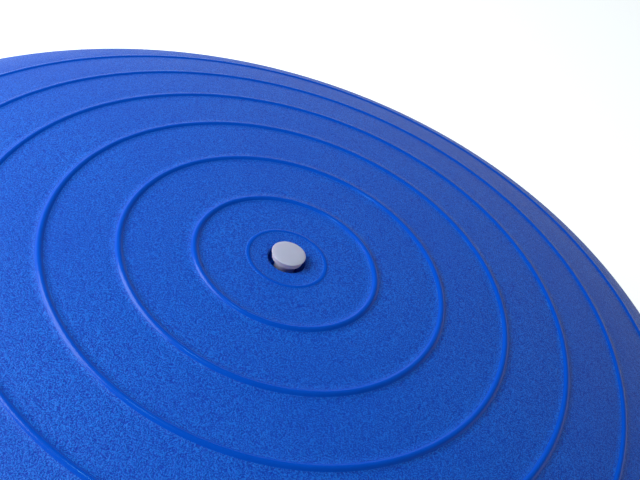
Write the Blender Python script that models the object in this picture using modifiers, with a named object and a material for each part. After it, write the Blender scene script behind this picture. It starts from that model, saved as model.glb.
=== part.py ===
"""Balance dome trainer: an air-filled PVC dome with concentric grip ribs, clamped on a flat, round platform.

The origin is on the floor under the dome's axis, +Z up. The two hand grips are on the Y axis and the two
D-ring anchors for exercise bands are on the X axis. Run it with: blender --background --python part.py
"""

import math

import bpy
import bmesh
from mathutils import Vector

# ---------------------------------------------------------------- driving dimensions, in metres
GAP = 0.0003  # clearance between pieces that touch
MERGE = 0.00005
WELD = 0.000001

# platform
PLATFORM_RADIUS = 0.290
PLATFORM_HEIGHT = 0.037
PLATFORM_EDGE_RADIUS = 0.008
DECK_THICKNESS = 0.004
FOOT_BAND_THICKNESS = 0.008
RIM_WALL = 0.004
RIB_THICKNESS = 0.003
RIB_SHORTFALL = 0.0005  # ribs stop this far below the rim, so that the bladder bears on the rim
STIFFENING_RING_RADIUS = 0.130
HUB_RADIUS = 0.025
STATIONS = 12  # screws, and the ribs that end at them

# rubber feet
FOOT_COUNT = 8
FOOT_RADIUS = 0.018
FOOT_PROUD = 0.003
FOOT_SEAT = 0.004
FOOT_CHAMFER = 0.001
FOOT_INSET = 0.024  # from the channel's inner wall to a foot's centre

# dome bladder
BLADDER_WALL = 0.003
DOME_BULGE = 0.005  # how far the widest part stands outside the clamp
DOME_RISE = 0.111  # from the widest part to the crown
SIDE_RISE = 0.041  # from the clamp ring's top to the widest part
DOME_SQUARENESS = 2.3  # exponent of the super-ellipse: 2 is a plain ellipse
BEAD_WIDTH = 0.0075
BEAD_DEPTH = 0.0070
FLANGE_FILLET = 0.002
GRIP_RIB_COUNT = 6
GRIP_RIB_FIRST = 0.0391  # along the surface, from the axis to the first rib
GRIP_RIB_PITCH = 0.0305
GRIP_RIB_WIDTH = 0.0032
GRIP_RIB_HEIGHT = 0.0008
CROWN_BOSS_RADIUS = 0.024
CROWN_BOSS_DEPTH = 0.007

# clamp ring
CLAMP_THICKNESS = 0.0105
CLAMP_EDGE_RADIUS = 0.006
CLAMP_LIP_RADIUS = 0.004
CLAMP_LIP_OVERLAP = 0.0035  # how far the lip reaches inside the channel's inner wall

# valve
SEAT_FLANGE_RADIUS = 0.018
SEAT_FLANGE_THICKNESS = 0.0016
SEAT_NECK_RADIUS = 0.0095
SEAT_TIP_RADIUS = 0.008
SEAT_LENGTH = 0.026
VALVE_BORE_RADIUS = 0.0053
VALVE_MOUTH_RADIUS = 0.0084
VALVE_MOUTH_DEPTH = 0.006
PLUG_HEAD_RADIUS = 0.00735
PLUG_HEAD_THICKNESS = 0.0012
PLUG_HEAD_PROUD = 0.0020  # from the seat's top to the head's underside
PLUG_COLLAR_RADIUS = 0.0060
PLUG_STEM_LENGTH = 0.019
PLUG_STEM_TAPER = 0.0006
PLUG_GROOVE_DEPTH = 0.0005

# clamp screws
SCREW_HEAD_RADIUS = 0.0042
SCREW_HEAD_HEIGHT = 0.0026
SCREW_SHANK_RADIUS = 0.002
SCREW_HEAD_SUNK = 0.0021  # from the platform's underside to the head
SCREW_BITE = 0.009  # length inside the clamp ring
BOSS_WALL = 0.0037
BOSS_BITE = 0.0002  # how far a boss reaches into the outer wall
BOSS_TO_BEAD = 0.0007
COUNTERBORE_CLEARANCE = 0.0006
RECESS_WIDTH = 0.0011
RECESS_DEPTH = 0.0014

# hand grips
GRIP_HALF_ANGLE = math.radians(10.5)
GRIP_HALF_WIDTH = 0.015
GRIP_WALL = 0.0025
GRIP_LIP_WIDTH = 0.003
GRIP_LIP_THICKNESS = 0.0015
GRIP_INSET = 0.021  # from the channel's inner wall to the middle of the grip
GRIP_HEADROOM = 0.004  # between the cup's top and the bladder's floor

# band anchors
ANCHOR_RECESS_DEPTH = 0.010
ANCHOR_RECESS_HALF_WIDTH = 0.022
ANCHOR_PAD_WALL = 0.005
D_RING_WIRE_RADIUS = 0.00225
D_RING_HALF_WIDTH = 0.014
D_RING_LEG = 0.004
D_RING_CORNER = 0.004
D_RING_DROP = 0.013  # from the rim's top down to the hinge line
D_RING_FLOOR_GAP = 0.00275  # under the hanging ring
CLIP_THICKNESS = 0.002
CLIP_HALF_WIDTH = 0.009
CLIP_RUNNING_CLEARANCE = 0.0004
CLIP_TAB_SHORTFALL = 0.002  # from the rim's top down to the tab's end
ANCHOR_SCREW_HEAD_RADIUS = 0.0026
ANCHOR_SCREW_HEAD_HEIGHT = 0.0018
ANCHOR_SCREW_SHANK_RADIUS = 0.0013
ANCHOR_SCREW_LENGTH = 0.0062
ANCHOR_SCREW_SPACING = 0.010

# facets
TURN_STEPS = 48
SMALL_STEPS = 24
HOLE_STEPS = 16

# ---------------------------------------------------------------- places worked out from them
UNDERSIDE = FOOT_PROUD
DECK_TOP = UNDERSIDE + DECK_THICKNESS
FOOT_BAND_TOP = UNDERSIDE + FOOT_BAND_THICKNESS
RIM_TOP = UNDERSIDE + PLATFORM_HEIGHT
RIB_TOP = RIM_TOP - RIB_SHORTFALL
OUTER_WALL_INSIDE = PLATFORM_RADIUS - RIM_WALL
BOSS_RADIUS = SCREW_SHANK_RADIUS + BOSS_WALL
CHANNEL_WIDTH = 2 * GAP + BEAD_WIDTH + BOSS_TO_BEAD + 2 * BOSS_RADIUS - BOSS_BITE
INNER_WALL_OUTSIDE = OUTER_WALL_INSIDE - CHANNEL_WIDTH
INNER_WALL_INSIDE = INNER_WALL_OUTSIDE - RIM_WALL

BLADDER_FLOOR_UNDER = RIM_TOP + GAP
BLADDER_FLOOR_TOP = BLADDER_FLOOR_UNDER + BLADDER_WALL
BEAD_INSIDE = INNER_WALL_OUTSIDE + 2 * GAP
BEAD_OUTSIDE = BEAD_INSIDE + BEAD_WIDTH
CLAMP_UNDER = RIM_TOP + GAP
CLAMP_OVER_BEAD = BLADDER_FLOOR_TOP + GAP
CLAMP_TOP = CLAMP_OVER_BEAD + CLAMP_THICKNESS
CLAMP_LIP_INSIDE = INNER_WALL_INSIDE - CLAMP_LIP_OVERLAP
DOME_FOOT_RADIUS = CLAMP_LIP_INSIDE - 2 * GAP
DOME_RADIUS = DOME_FOOT_RADIUS + DOME_BULGE
DOME_WIDEST = CLAMP_TOP + SIDE_RISE
CROWN = DOME_WIDEST + DOME_RISE

SCREW_CIRCLE = OUTER_WALL_INSIDE - BOSS_RADIUS + BOSS_BITE
SCREW_SEAT = UNDERSIDE + SCREW_HEAD_SUNK + SCREW_HEAD_HEIGHT
FOOT_CIRCLE = INNER_WALL_INSIDE - FOOT_INSET
GRIP_CIRCLE = INNER_WALL_INSIDE - GRIP_INSET
GRIP_TOP = RIM_TOP - GRIP_HEADROOM
ANCHOR_FLOOR = PLATFORM_RADIUS - ANCHOR_RECESS_DEPTH
CLIP_BORE = D_RING_WIRE_RADIUS + CLIP_RUNNING_CLEARANCE
HINGE_X = ANCHOR_FLOOR + GAP + CLIP_THICKNESS + CLIP_BORE
HINGE_Z = RIM_TOP - D_RING_DROP
CLIP_TAB_TOP = RIM_TOP - CLIP_TAB_SHORTFALL
D_RING_BOW = HINGE_Z - D_RING_FLOOR_GAP - D_RING_WIRE_RADIUS - D_RING_CORNER - D_RING_LEG
PLUG_SEAT = CROWN - VALVE_MOUTH_DEPTH

PARTS = "balance_dome_trainer"
CUTTERS = "cutters"


# ---------------------------------------------------------------- helpers
def clear_scene():
    for obj in list(bpy.data.objects):
        bpy.data.objects.remove(obj, do_unlink=True)


def collection(name, parent=None):
    made = bpy.data.collections.new(name)
    (parent or bpy.context.scene.collection).children.link(made)
    return made


def material(name, colour, roughness, metallic=0.0):
    made = bpy.data.materials.new(name)
    made.use_nodes = True
    shader = made.node_tree.nodes["Principled BSDF"]
    shader.inputs["Base Color"].default_value = (*colour, 1.0)
    shader.inputs["Roughness"].default_value = roughness
    shader.inputs["Metallic"].default_value = metallic
    made.diffuse_color = (*colour, 1.0)
    return made


def add(name, data, mat=None, where=PARTS):
    """Links a new object, as a part or, with no material, as a hidden cutter."""
    obj = bpy.data.objects.new(name, data)
    bpy.data.collections[where].objects.link(obj)
    if mat and not data.materials:
        data.materials.append(mat)
    if where != PARTS:
        obj.hide_render = True
        obj.display_type = "WIRE"
    return obj


def shade(mesh):
    mesh.shade_smooth()
    mesh.set_sharp_from_angle(angle=math.radians(35))


def as_mesh(obj):
    """Replaces an object by one whose mesh is what its curve and modifiers make, with the caps welded."""
    bpy.context.view_layer.update()
    graph = bpy.context.evaluated_depsgraph_get()
    mesh = bpy.data.meshes.new_from_object(obj.evaluated_get(graph))
    work = bmesh.new()
    work.from_mesh(mesh)
    bmesh.ops.remove_doubles(work, verts=work.verts, dist=WELD)
    work.to_mesh(mesh)
    work.free()
    shade(mesh)
    name, where, place = obj.name, obj.users_collection[0].name, obj.matrix_world.copy()
    bpy.data.objects.remove(obj)
    mesh.name = name
    made = add(name, mesh, where=where)
    made.matrix_world = place
    return made


def turned(name, outline, mat=None, closed=False, steps=TURN_STEPS, where=PARTS):
    """A body of revolution about Z. The outline runs down its outer side."""
    ends = [(i, i + 1) for i in range(len(outline) - 1)]
    if closed:
        ends.append((len(outline) - 1, 0))
    mesh = bpy.data.meshes.new(name)
    mesh.from_pydata([(r, 0, z) for r, z in outline], ends, [])
    obj = add(name, mesh, mat, where)
    screw = obj.modifiers.new("Turn", "SCREW")
    screw.steps = screw.render_steps = steps
    screw.use_merge_vertices = True
    screw.merge_threshold = MERGE
    return as_mesh(obj)


def cylinder(name, radius, bottom, top, mat=None, steps=HOLE_STEPS, where=CUTTERS):
    mesh = bpy.data.meshes.new(name)
    work = bmesh.new()
    bmesh.ops.create_cone(
        work, cap_ends=True, segments=steps, radius1=radius, radius2=radius, depth=top - bottom
    )
    bmesh.ops.translate(work, verts=work.verts, vec=(0, 0, (top + bottom) / 2))
    work.to_mesh(mesh)
    work.free()
    return add(name, mesh, mat, where)


def box(name, low, high, where=CUTTERS):
    mesh = bpy.data.meshes.new(name)
    work = bmesh.new()
    bmesh.ops.create_cube(work, size=1.0)
    low, high = Vector(low), Vector(high)
    bmesh.ops.scale(work, verts=work.verts, vec=high - low)
    bmesh.ops.translate(work, verts=work.verts, vec=(high + low) / 2)
    work.to_mesh(mesh)
    work.free()
    return add(name, mesh, where=where)


def slab(name, outlines, bottom, top, where=CUTTERS):
    """A flat body between two heights, from a 2D curve of one outline and its holes."""
    curve = bpy.data.curves.new(name, "CURVE")
    curve.dimensions = "2D"
    curve.fill_mode = "BOTH"
    curve.extrude = (top - bottom) / 2
    for outline in outlines:
        spline = curve.splines.new("POLY")
        spline.points.add(len(outline) - 1)
        for point, (x, y) in zip(spline.points, outline):
            point.co = (x, y, 0, 1)
        spline.use_cyclic_u = True
    obj = add(name, curve, where=where)
    obj.location.z = (top + bottom) / 2
    made = as_mesh(obj)
    made.data.transform(made.matrix_world)
    made.matrix_world.identity()
    return made


def combine(obj, operation, others):
    """One Boolean of obj with every one of the others."""
    group = collection(f"{obj.name}_{operation.lower()}", bpy.data.collections[CUTTERS])
    for other in others:
        bpy.data.collections[CUTTERS].objects.unlink(other)
        group.objects.link(other)
    modifier = obj.modifiers.new(operation.title(), "BOOLEAN")
    modifier.operation = operation
    modifier.solver = "EXACT"
    modifier.operand_type = "COLLECTION"
    modifier.collection = group


def arc(centre, radius, start, end, steps):
    """Points from one angle to another, ends included, in degrees."""
    angles = [math.radians(start + (end - start) * i / steps) for i in range(steps + 1)]
    return [(centre[0] + radius * math.cos(a), centre[1] + radius * math.sin(a)) for a in angles]


def stations(count, offset=0.5):
    """Equal angles round the axis; an offset of a half keeps them off the X and Y axes."""
    return [math.tau * (i + offset) / count for i in range(count)]


def put(obj, radius, angle, height=0.0):
    obj.location = (radius * math.cos(angle), radius * math.sin(angle), height)
    obj.rotation_euler.z = angle
    return obj


def side_points():
    """The bladder's outer side from the widest part down to the clamp: vertical above, leaning in below."""
    steps = 4
    height = DOME_WIDEST - CLAMP_TOP + CLAMP_LIP_RADIUS
    shares = [i / steps for i in range(1, steps + 1)]
    return [(DOME_RADIUS - DOME_BULGE * s * s, DOME_WIDEST - height * s) for s in shares]


def dome_curve(steps=600):
    """Points of the dome's outer surface from the axis to the widest part, each with the way along it."""
    found = []
    travelled = 0.0
    for i in range(steps + 1):
        turn = math.pi / 2 * i / steps
        point = Vector(
            (
                DOME_RADIUS * math.sin(turn) ** (2 / DOME_SQUARENESS),
                DOME_WIDEST + DOME_RISE * max(math.cos(turn), 0.0) ** (2 / DOME_SQUARENESS),
            )
        )
        if found:
            travelled += (point - found[-1][1]).length
        found.append((travelled, point))
    return found


def on_dome(curve, way, outwards=0.0):
    """The point this far along the dome's surface, moved off it along its normal."""
    after = next((i for i, (s, _) in enumerate(curve) if s >= way), len(curve) - 1)
    after = max(after, 1)
    (s0, p0), (s1, p1) = curve[after - 1], curve[after]
    share = (way - s0) / (s1 - s0)
    along = (p1 - p0).normalized()
    normal = Vector((-along.y, along.x))
    point = p0.lerp(p1, share) + normal * outwards
    return (point.x, point.y)


# ---------------------------------------------------------------- dome and valve
def make_bladder(mat):
    """The air-filled dome with its floor, crown boss and clamped bead: open only at the valve."""
    curve = dome_curve()
    full = curve[-1][0]
    ribs_end = GRIP_RIB_FIRST + GRIP_RIB_PITCH * (GRIP_RIB_COUNT - 1) + GRIP_RIB_WIDTH
    seat = CROWN - SEAT_FLANGE_THICKNESS - GAP
    hole = SEAT_NECK_RADIUS + GAP

    inside = [(0, BLADDER_FLOOR_TOP), (DOME_FOOT_RADIUS - BLADDER_WALL, BLADDER_FLOOR_TOP)]
    inside += [(r - BLADDER_WALL, z) for r, z in reversed(side_points())]
    inside += [on_dome(curve, full * share, -BLADDER_WALL) for share in (1.0, 0.94, 0.87, 0.78, 0.66, 0.5, 0.3)]
    inside += [
        on_dome(curve, CROWN_BOSS_RADIUS + BLADDER_WALL, -BLADDER_WALL),
        (CROWN_BOSS_RADIUS, CROWN - CROWN_BOSS_DEPTH),
        (hole, CROWN - CROWN_BOSS_DEPTH),
    ]

    outside = [(hole, seat), (SEAT_FLANGE_RADIUS + GAP, seat)]
    outside.append(on_dome(curve, SEAT_FLANGE_RADIUS + GAP))
    for i in range(GRIP_RIB_COUNT):
        way = GRIP_RIB_FIRST + GRIP_RIB_PITCH * i
        for step, height in ((-0.5, 0.0), (0.0, GRIP_RIB_HEIGHT), (0.5, 0.0)):
            outside.append(on_dome(curve, way + step * GRIP_RIB_WIDTH, height))
    steps = 7
    outside += [on_dome(curve, ribs_end + (full - ribs_end) * (i / steps) ** 0.8) for i in range(1, steps + 1)]
    outside += side_points()

    bottom = BLADDER_FLOOR_UNDER - BEAD_DEPTH
    round_off = BEAD_WIDTH / 4
    bead = [
        (DOME_FOOT_RADIUS, BLADDER_FLOOR_TOP + FLANGE_FILLET),
        (DOME_FOOT_RADIUS + FLANGE_FILLET, BLADDER_FLOOR_TOP),
        (BEAD_OUTSIDE, BLADDER_FLOOR_TOP),
        (BEAD_OUTSIDE, bottom + round_off),
        (BEAD_OUTSIDE - round_off, bottom),
        (BEAD_INSIDE + round_off, bottom),
        (BEAD_INSIDE, bottom + round_off),
        (BEAD_INSIDE, BLADDER_FLOOR_UNDER),
        (0, BLADDER_FLOOR_UNDER),
    ]
    return turned("dome_bladder", inside + outside + bead, mat)


def make_valve_seat(mat):
    """The insert moulded into the crown: a round flange, a wide mouth and a narrower bore."""
    edge = SEAT_FLANGE_THICKNESS / 4
    under = CROWN - SEAT_FLANGE_THICKNESS
    outline = [
        (VALVE_MOUTH_RADIUS, CROWN),
        (SEAT_FLANGE_RADIUS - edge, CROWN),
        (SEAT_FLANGE_RADIUS, CROWN - edge),
        (SEAT_FLANGE_RADIUS, under),
        (SEAT_NECK_RADIUS, under),
        (SEAT_NECK_RADIUS, CROWN - SEAT_LENGTH / 2),
        (SEAT_TIP_RADIUS, CROWN - SEAT_LENGTH),
        (VALVE_BORE_RADIUS, CROWN - SEAT_LENGTH),
        (VALVE_BORE_RADIUS, CROWN - VALVE_MOUTH_DEPTH - GAP),
        (VALVE_MOUTH_RADIUS - edge, CROWN - VALVE_MOUTH_DEPTH - GAP),
    ]
    return turned("valve_seat", outline, mat, closed=True, steps=SMALL_STEPS)


def make_valve_plug(mat):
    """The push-in stopper. Its origin is on the slide axis at the collar's underside."""
    head = VALVE_MOUTH_DEPTH + PLUG_HEAD_PROUD
    edge = PLUG_HEAD_THICKNESS / 3
    stem = VALVE_BORE_RADIUS - GAP
    groove = stem - PLUG_GROOVE_DEPTH
    outline = [
        (0, head + PLUG_HEAD_THICKNESS),
        (PLUG_HEAD_RADIUS - edge, head + PLUG_HEAD_THICKNESS),
        (PLUG_HEAD_RADIUS, head + PLUG_HEAD_THICKNESS - edge),
        (PLUG_HEAD_RADIUS, head),
        (PLUG_COLLAR_RADIUS, head),
        (PLUG_COLLAR_RADIUS, 0),
        (groove, 0),
    ]
    ridges = 3
    for i in range(ridges):
        top = -PLUG_STEM_LENGTH * (i + 0.5) / (ridges + 1)
        shrink = PLUG_STEM_TAPER * i / ridges
        outline += [
            (groove - shrink, top),
            (stem - shrink, top - PLUG_GROOVE_DEPTH * 2),
            (groove - shrink, top - PLUG_GROOVE_DEPTH * 5),
        ]
    outline += [
        (groove - PLUG_STEM_TAPER, -PLUG_STEM_LENGTH + edge),
        (groove - PLUG_STEM_TAPER - edge, -PLUG_STEM_LENGTH),
        (0, -PLUG_STEM_LENGTH),
    ]
    plug = turned("valve_plug", outline, mat, steps=SMALL_STEPS)
    plug.location.z = PLUG_SEAT
    return plug


# ---------------------------------------------------------------- platform and clamp
def platform_outline():
    """From the axis out over the ribs and round the channel, then down the outer side and back."""
    ring_in = STIFFENING_RING_RADIUS - RIB_THICKNESS / 2
    ring_out = STIFFENING_RING_RADIUS + RIB_THICKNESS / 2
    ring_top = RIB_TOP - RIB_SHORTFALL
    band = FOOT_CIRCLE - FOOT_RADIUS - FOOT_BAND_THICKNESS
    draft = RIM_WALL / 8
    return [
        (0, ring_top),
        (HUB_RADIUS, ring_top),
        (HUB_RADIUS, DECK_TOP),
        (ring_in, DECK_TOP),
        (ring_in, ring_top),
        (ring_out, ring_top),
        (ring_out, DECK_TOP),
        (band, DECK_TOP),
        (band + DECK_THICKNESS, FOOT_BAND_TOP),
        (INNER_WALL_INSIDE, FOOT_BAND_TOP),
        (INNER_WALL_INSIDE, RIM_TOP),
        (INNER_WALL_OUTSIDE, RIM_TOP),
        (INNER_WALL_OUTSIDE + draft, DECK_TOP),
        (OUTER_WALL_INSIDE - draft, DECK_TOP),
        (OUTER_WALL_INSIDE, RIM_TOP),
        (PLATFORM_RADIUS, RIM_TOP),
        *arc(
            (PLATFORM_RADIUS - PLATFORM_EDGE_RADIUS, UNDERSIDE + PLATFORM_EDGE_RADIUS),
            PLATFORM_EDGE_RADIUS,
            0,
            -90,
            4,
        ),
        (0, UNDERSIDE),
    ]


def grip_outline(half_width):
    """A slot bent round the axis, with round ends, centred on the +Y axis."""
    turn = math.degrees(GRIP_HALF_ANGLE)
    right = arc((0, 0), GRIP_CIRCLE, 90 - turn, 90 - turn, 1)[0]
    left = arc((0, 0), GRIP_CIRCLE, 90 + turn, 90 + turn, 1)[0]
    outer = arc((0, 0), GRIP_CIRCLE + half_width, 90 - turn, 90 + turn, 6)
    inner = arc((0, 0), GRIP_CIRCLE - half_width, 90 + turn, 90 - turn, 6)
    left_end = arc(left, half_width, 90 + turn, 270 + turn, 8)
    right_end = arc(right, half_width, 270 - turn, 450 - turn, 8)
    return outer + left_end[1:-1] + inner + right_end[1:-1]


def both_sides(obj):
    """A copy of a mesh object turned half way round the axis."""
    turned_copy = obj.copy()
    bpy.data.collections[CUTTERS].objects.link(turned_copy)
    turned_copy.rotation_euler.z += math.pi
    return turned_copy


def make_platform(mat):
    """The moulded tray: a flat underside to stand on when it is turned over, ribs above, a channel round it."""
    platform = turned("base_platform", platform_outline(), mat)
    overlap = 0.0005
    additions = []
    cuts = []
    for i, angle in enumerate(stations(STATIONS)):
        rib = box(
            f"rib_{i}",
            (HUB_RADIUS - overlap * 4, -RIB_THICKNESS / 2, DECK_TOP - overlap),
            (INNER_WALL_INSIDE + overlap, RIB_THICKNESS / 2, RIB_TOP),
        )
        rib.rotation_euler.z = angle
        boss = cylinder(f"boss_{i}", BOSS_RADIUS, DECK_TOP - overlap, RIB_TOP)
        hole = cylinder(f"screw_hole_{i}", SCREW_SHANK_RADIUS + GAP, 0, CLAMP_TOP)
        bore = SCREW_HEAD_RADIUS + COUNTERBORE_CLEARANCE
        counterbore = cylinder(f"counterbore_{i}", bore, 0, SCREW_SEAT + GAP)
        additions += [rib, put(boss, SCREW_CIRCLE, angle)]
        cuts += [put(hole, SCREW_CIRCLE, angle), put(counterbore, SCREW_CIRCLE, angle)]
    for i, angle in enumerate(stations(FOOT_COUNT)):
        pocket = cylinder(
            f"foot_pocket_{i}", FOOT_RADIUS + GAP, 0, UNDERSIDE + FOOT_SEAT + GAP, steps=SMALL_STEPS
        )
        cuts.append(put(pocket, FOOT_CIRCLE, angle))

    slot = slab("grip_slot", [grip_outline(GRIP_HALF_WIDTH + GAP)], 0, RIM_TOP)
    lip = slab(
        "grip_lip_recess",
        [grip_outline(GRIP_HALF_WIDTH + GRIP_LIP_WIDTH + GAP)],
        0,
        UNDERSIDE + GRIP_LIP_THICKNESS + GAP,
    )
    pad_width = ANCHOR_RECESS_HALF_WIDTH + RIM_WALL
    pad = box(
        "anchor_pad",
        (ANCHOR_FLOOR - ANCHOR_PAD_WALL, -pad_width, DECK_TOP - overlap),
        (OUTER_WALL_INSIDE + overlap, pad_width, RIB_TOP),
    )
    recess = box(
        "anchor_recess",
        (ANCHOR_FLOOR, -ANCHOR_RECESS_HALF_WIDTH, 0),
        (PLATFORM_RADIUS * 1.1, ANCHOR_RECESS_HALF_WIDTH, CLAMP_TOP),
    )
    for cut in (slot, lip, recess):
        cuts += [cut, both_sides(cut)]
    additions += [pad, both_sides(pad)]
    for side in (0, math.pi):
        for y in (-ANCHOR_SCREW_SPACING / 2, ANCHOR_SCREW_SPACING / 2):
            pilot = cylinder(
                f"anchor_pilot_{len(cuts)}",
                ANCHOR_SCREW_SHANK_RADIUS + GAP,
                -ANCHOR_SCREW_LENGTH,
                ANCHOR_SCREW_LENGTH,
            )
            aim_anchor_screw(pilot, side, y)
            cuts.append(pilot)
    combine(platform, "UNION", additions)
    combine(platform, "DIFFERENCE", cuts)
    return platform


def make_clamp_ring(mat):
    """The top ring that traps the bladder's bead; the screws end in blind holes in its underside."""
    outline = [
        (BEAD_OUTSIDE + 2 * GAP, CLAMP_OVER_BEAD),
        (CLAMP_LIP_INSIDE + FLANGE_FILLET, CLAMP_OVER_BEAD),
        (CLAMP_LIP_INSIDE, CLAMP_OVER_BEAD + FLANGE_FILLET),
        *arc(
            (CLAMP_LIP_INSIDE + CLAMP_LIP_RADIUS, CLAMP_TOP - CLAMP_LIP_RADIUS),
            CLAMP_LIP_RADIUS,
            180,
            90,
            3,
        ),
        *arc(
            (PLATFORM_RADIUS - CLAMP_EDGE_RADIUS, CLAMP_TOP - CLAMP_EDGE_RADIUS),
            CLAMP_EDGE_RADIUS,
            90,
            0,
            3,
        ),
        (PLATFORM_RADIUS, CLAMP_UNDER),
        (BEAD_OUTSIDE + 2 * GAP, CLAMP_UNDER),
    ]
    ring = turned("clamp_ring", outline, mat, closed=True)
    holes = []
    for i, angle in enumerate(stations(STATIONS)):
        hole = cylinder(
            f"clamp_hole_{i}", SCREW_SHANK_RADIUS + GAP, UNDERSIDE, CLAMP_UNDER + SCREW_BITE + GAP
        )
        holes.append(put(hole, SCREW_CIRCLE, angle))
    combine(ring, "DIFFERENCE", holes)
    return ring


def make_grip_cup(name, angle, mat):
    """The lining of a hand slot: a blind cup, open below, with a lip let into the underside."""
    cup = slab(name, [grip_outline(GRIP_HALF_WIDTH)], UNDERSIDE, GRIP_TOP, where=PARTS)
    cup.data.materials.clear()
    cup.data.materials.append(mat)
    lip = slab(
        f"{name}_lip",
        [grip_outline(GRIP_HALF_WIDTH + GRIP_LIP_WIDTH)],
        UNDERSIDE,
        UNDERSIDE + GRIP_LIP_THICKNESS,
    )
    inside = slab(f"{name}_inside", [grip_outline(GRIP_HALF_WIDTH - GRIP_WALL)], 0, GRIP_TOP - GRIP_WALL)
    combine(cup, "UNION", [lip])
    combine(cup, "DIFFERENCE", [inside])
    for piece in (cup, lip, inside):
        piece.rotation_euler.z = angle
    return cup


def make_feet(mat):
    """Round rubber pads pressed into pockets in the underside."""
    top = FOOT_PROUD + FOOT_SEAT
    outline = [
        (0, top),
        (FOOT_RADIUS, top),
        (FOOT_RADIUS, FOOT_CHAMFER),
        (FOOT_RADIUS - FOOT_CHAMFER, 0),
        (0, 0),
    ]
    first = turned("foot_1", outline, mat, steps=SMALL_STEPS)
    for i, angle in enumerate(stations(FOOT_COUNT)):
        put(first if i == 0 else add(f"foot_{i + 1}", first.data), FOOT_CIRCLE, angle)


# ---------------------------------------------------------------- screws
def screw_mesh(name, head_radius, head_height, shank_radius, length, mat):
    """A pan-head screw with a cross recess: shank up from the seat at the origin, head below it."""
    edge = head_height / 4
    outline = [
        (0, length),
        (shank_radius - edge, length),
        (shank_radius, length - 2 * edge),
        (shank_radius, 0),
        (head_radius, 0),
        (head_radius, -head_height + edge),
        (head_radius - edge, -head_height),
        (0, -head_height),
    ]
    screw = turned(name, outline, mat, steps=HOLE_STEPS)
    arm, half = head_radius * 0.62, RECESS_WIDTH / 2
    deep = min(RECESS_DEPTH, head_height * 0.6)
    slots = []
    for x, y in ((arm, half), (half, arm)):
        slots.append(box(f"{name}_slot", (-x, -y, -2 * head_height), (x, y, deep - head_height)))
    combine(screw, "DIFFERENCE", slots)
    return as_mesh(screw)


def make_clamp_screws(mat):
    length = CLAMP_UNDER + SCREW_BITE - SCREW_SEAT
    first = screw_mesh("clamp_screw_01", SCREW_HEAD_RADIUS, SCREW_HEAD_HEIGHT, SCREW_SHANK_RADIUS, length, mat)
    for i, angle in enumerate(stations(STATIONS)):
        screw = first if i == 0 else add(f"clamp_screw_{i + 1:02d}", first.data)
        put(screw, SCREW_CIRCLE, angle, SCREW_SEAT)


def aim_anchor_screw(obj, side, y):
    """Lays a screw, or its pilot hole, along the recess's floor normal, in the clip's tab."""
    x = ANCHOR_FLOOR + GAP + CLIP_THICKNESS + GAP
    height = (HINGE_Z + CLIP_BORE + CLIP_THICKNESS + CLIP_TAB_TOP) / 2
    turn = math.cos(side)
    obj.location = (x * turn, y * turn, height)
    obj.rotation_euler = (0, -math.pi / 2 * turn, 0)


def make_anchor_screws(mat):
    first = None
    for side, word in ((0, "right"), (math.pi, "left")):
        for i, y in enumerate((-ANCHOR_SCREW_SPACING / 2, ANCHOR_SCREW_SPACING / 2)):
            name = f"anchor_screw_{word}_{i + 1}"
            if first is None:
                screw = first = screw_mesh(
                    name,
                    ANCHOR_SCREW_HEAD_RADIUS,
                    ANCHOR_SCREW_HEAD_HEIGHT,
                    ANCHOR_SCREW_SHANK_RADIUS,
                    ANCHOR_SCREW_LENGTH,
                    mat,
                )
            else:
                screw = add(name, first.data)
            aim_anchor_screw(screw, side, y)


# ---------------------------------------------------------------- band anchors
def make_anchor(word, side, steel, wire_steel):
    """A steel clip that wraps the D-ring's bar and is screwed to the recess's floor above it."""
    mount = bpy.data.objects.new(f"anchor_{word}", None)
    bpy.data.collections[PARTS].objects.link(mount)
    mount.rotation_euler.z = side

    outer = CLIP_BORE + CLIP_THICKNESS
    back = ANCHOR_FLOOR + GAP - HINGE_X
    tab_top = CLIP_TAB_TOP - HINGE_Z
    front = back + CLIP_THICKNESS
    meets = math.degrees(math.acos(front / outer))
    outline = [(back, tab_top), *arc((0, 0), outer, 180, 360 + meets, 14), (front, tab_top)]
    clip_name = f"anchor_clip_{word}"
    clip = slab(clip_name, [outline], -CLIP_HALF_WIDTH, CLIP_HALF_WIDTH, where=PARTS)
    clip.data.materials.clear()
    clip.data.materials.append(steel)
    bore = cylinder(f"{clip_name}_bore", CLIP_BORE, -2 * CLIP_HALF_WIDTH, 2 * CLIP_HALF_WIDTH)
    combine(clip, "DIFFERENCE", [bore])
    clip = as_mesh(clip)
    clip.parent = mount
    clip.location = (HINGE_X, 0, HINGE_Z)
    clip.rotation_euler.x = math.pi / 2
    holes = []
    for y in (-ANCHOR_SCREW_SPACING / 2, ANCHOR_SCREW_SPACING / 2):
        hole = cylinder(
            f"{clip_name}_hole_{len(holes)}",
            ANCHOR_SCREW_SHANK_RADIUS + GAP,
            -ANCHOR_SCREW_LENGTH,
            ANCHOR_SCREW_LENGTH,
        )
        aim_anchor_screw(hole, side, y)
        holes.append(hole)
    combine(clip, "DIFFERENCE", holes)

    width, corner = D_RING_HALF_WIDTH, D_RING_CORNER
    path = arc((width - corner, -corner), corner, 90, 0, 3)
    path += [(y * width, z * D_RING_BOW - corner - D_RING_LEG) for y, z in arc((0, 0), 1, 0, -180, 12)]
    path += arc((corner - width, -corner), corner, 180, 90, 3)
    curve = bpy.data.curves.new(f"d_ring_{word}", "CURVE")
    curve.dimensions = "3D"
    curve.bevel_depth = D_RING_WIRE_RADIUS
    curve.bevel_resolution = 2
    spline = curve.splines.new("POLY")
    spline.points.add(len(path) - 1)
    for point, (y, z) in zip(spline.points, path):
        point.co = (0, y, z, 1)
    spline.use_cyclic_u = True
    ring = add(f"d_ring_{word}", curve, wire_steel)
    ring.parent = mount
    ring.location = (HINGE_X, 0, HINGE_Z)


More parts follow.
